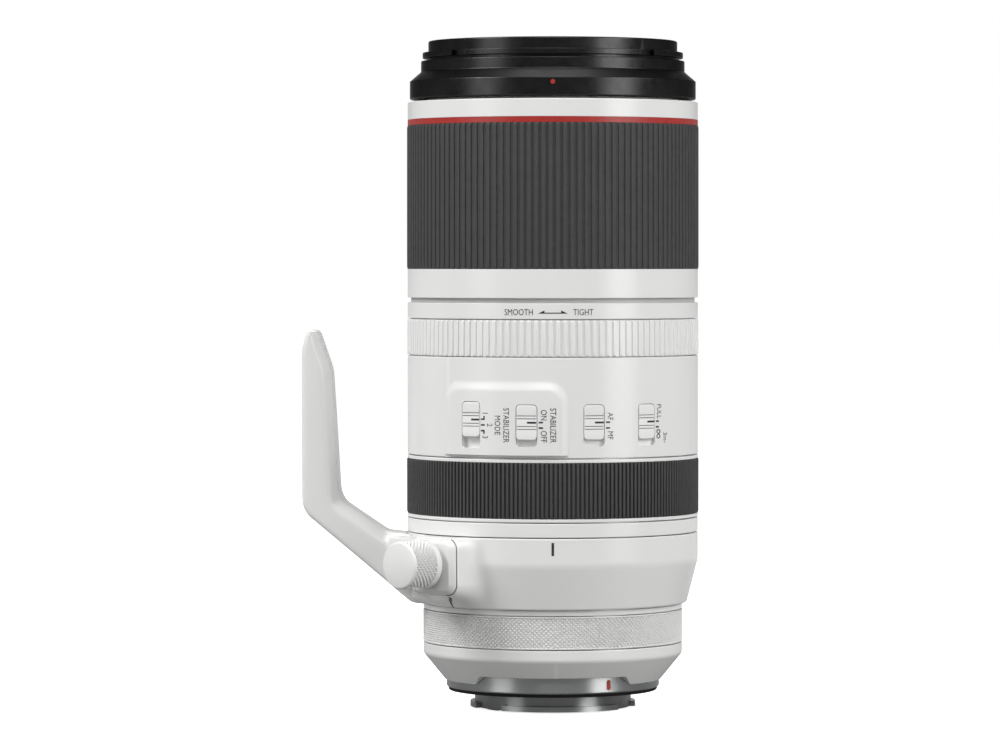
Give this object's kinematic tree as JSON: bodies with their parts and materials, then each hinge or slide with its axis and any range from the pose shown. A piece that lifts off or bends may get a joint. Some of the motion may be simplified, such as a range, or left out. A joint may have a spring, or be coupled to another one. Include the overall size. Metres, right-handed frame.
{
  "type": "camera zoom lens",
  "caption": "White tele zoom lens with ribbed zoom and focus rings, slide switches, an extending front barrel and a rotating tripod collar with a foot and lock knob.",
  "frame": {"origin": "centre of the camera flange's register face, on the optical axis", "axes": "+Z along the optical axis towards the front lens, -X towards the tripod foot, -Y towards the switches"},
  "size_m": [0.1271, 0.1014, 0.2139],
  "materials": {
    "white_enamel": "smooth off-white enamel on metal",
    "white_plastic": "off-white moulded plastic",
    "rubber_grip": "ribbed dark grey rubber",
    "black_ring": "black satin plastic",
    "black_cell": "black anodised aluminium",
    "bare_metal": "machined aluminium",
    "mount_steel": "hard chromed mount metal",
    "screw_steel": "steel",
    "brass": "brass",
    "red_paint": "red enamel",
    "seal_rubber": "black rubber seal",
    "lens_glass": "coated optical glass",
    "circuit_board": "green circuit board",
    "motor_metal": "motor housing",
    "ext_paint": "pale grey enamel"
  },
  "bodies": {
    "body": {"mount_flange": "mount_steel", "mount_screws": "screw_steel", "mount_gasket": "seal_rubber", "mount_index_pip": "red_paint", "contact_block": "black_ring", "contact_pins": "brass", "rear_baffle": "black_ring", "rear_lens": "lens_glass", "rear_cover": "white_enamel", "main_barrel": "bare_metal", "rear_cell": "black_cell", "main_board": "circuit_board", "stabilizer_frame": "bare_metal", "iris_housing": "black_cell", "iris_blades": "black_ring", "iris_cover": "bare_metal", "focus_rods": "screw_steel", "focus_motor": "motor_metal", "stop_ring": "white_enamel", "body_ring": "white_enamel", "panel_shell": "white_enamel", "scale_band": "white_enamel", "guide_tube": "bare_metal"},
    "zoom_ring": {"zoom_shell": "white_enamel", "zoom_grip": "rubber_grip", "red_ring": "red_paint", "cam_sleeve": "bare_metal", "zoom_keys": "screw_steel"},
    "front_barrel": {"extension_tube": "ext_paint", "front_rollers": "brass", "front_ring": "black_ring", "front_index_dot": "red_paint", "front_cell": "black_cell", "front_lens": "lens_glass", "second_lens": "lens_glass"},
    "variator": {"variator_cell": "black_cell", "variator_lens": "lens_glass", "variator_rollers": "brass"},
    "tension": {"tension_ring": "white_enamel"},
    "focus_ring": {"focus_shell": "white_enamel", "focus_grip": "rubber_grip"},
    "focus_group": {"focus_cell": "black_cell", "focus_lens": "lens_glass"},
    "control": {"control_ring": "white_enamel"},
    "collar": {"collar_ring": "white_enamel", "tripod_foot": "white_enamel", "foot_screws": "screw_steel"},
    "knob": {"lock_knob": "white_enamel"},
    "shoe": {"clamp_shoe": "brass"},
    "stabilizer_shift_x": {"stabilizer_carrier": "black_cell"},
    "stabilizer_shift_y": {"stabilizer_lens": "lens_glass"},
    "switch_mode": {"mode_switch": "white_plastic"},
    "switch_stabilizer": {"stabilizer_switch": "white_plastic"},
    "switch_focus": {"focus_mode_switch": "white_plastic"},
    "switch_range": {"range_switch": "white_plastic"}
  },
  "joints": [
    {"name": "zoom_turn", "type": "hinge", "parent": "body", "child": "zoom_ring", "pos_m": [0, 0, 0.15], "axis": [0, 0, 1], "range_deg": [0, 90]},
    {"name": "front_extend", "type": "slide", "parent": "body", "child": "front_barrel", "axis": [0, 0, 1], "range_m": [0, 0.084]},
    {"name": "variator_travel", "type": "slide", "parent": "body", "child": "variator", "axis": [0, 0, 1], "range_m": [0, 0.036]},
    {"name": "tension_turn", "type": "hinge", "parent": "body", "child": "tension", "pos_m": [0, 0, 0.113], "axis": [0, 0, 1], "range_deg": [-30, 30]},
    {"name": "focus_turn", "type": "hinge", "parent": "body", "child": "focus_ring", "pos_m": [0, 0, 0.065], "axis": [0, 0, 1], "continuous": true},
    {"name": "focus_travel", "type": "slide", "parent": "body", "child": "focus_group", "axis": [0, 0, 1], "range_m": [0, 0.01]},
    {"name": "control_turn", "type": "hinge", "parent": "body", "child": "control", "pos_m": [0, 0, 0.02], "axis": [0, 0, 1], "continuous": true},
    {"name": "collar_turn", "type": "hinge", "parent": "body", "child": "collar", "pos_m": [0, 0, 0.039], "axis": [0, 0, 1], "continuous": true},
    {"name": "lock_turn", "type": "hinge", "parent": "collar", "child": "knob", "pos_m": [0, 0, 0.0421], "axis": [-0.6947, -0.7193, 0], "range_deg": [0, 180]},
    {"name": "clamp_lift", "type": "slide", "parent": "collar", "child": "shoe", "axis": [-0.6947, -0.7193, 0], "range_m": [0, 0.0004]},
    {"name": "stabilizer_x", "type": "slide", "parent": "body", "child": "stabilizer_shift_x", "axis": [1, 0, 0], "range_m": [-0.0006, 0.0006]},
    {"name": "stabilizer_y", "type": "slide", "parent": "stabilizer_shift_x", "child": "stabilizer_shift_y", "axis": [0, 1, 0], "range_m": [-0.0006, 0.0006]},
    {"name": "mode_slide", "type": "slide", "parent": "body", "child": "switch_mode", "axis": [0, 0, -1], "range_m": [0, 0.0033]},
    {"name": "stabilizer_slide", "type": "slide", "parent": "body", "child": "switch_stabilizer", "axis": [0, 0, -1], "range_m": [0, 0.0019]},
    {"name": "focus_mode_slide", "type": "slide", "parent": "body", "child": "switch_focus", "axis": [0, 0, -1], "range_m": [0, 0.0019]},
    {"name": "range_slide", "type": "slide", "parent": "body", "child": "switch_range", "axis": [0, 0, -1], "range_m": [0, 0.0019]}
  ],
  "couplings": [
    {"joint": "front_extend", "follows": "zoom_turn", "m_per_rad": 0.053476},
    {"joint": "variator_travel", "follows": "zoom_turn", "m_per_rad": 0.022918},
    {"joint": "clamp_lift", "follows": "lock_turn", "m_per_rad": 0.00012732}
  ]
}
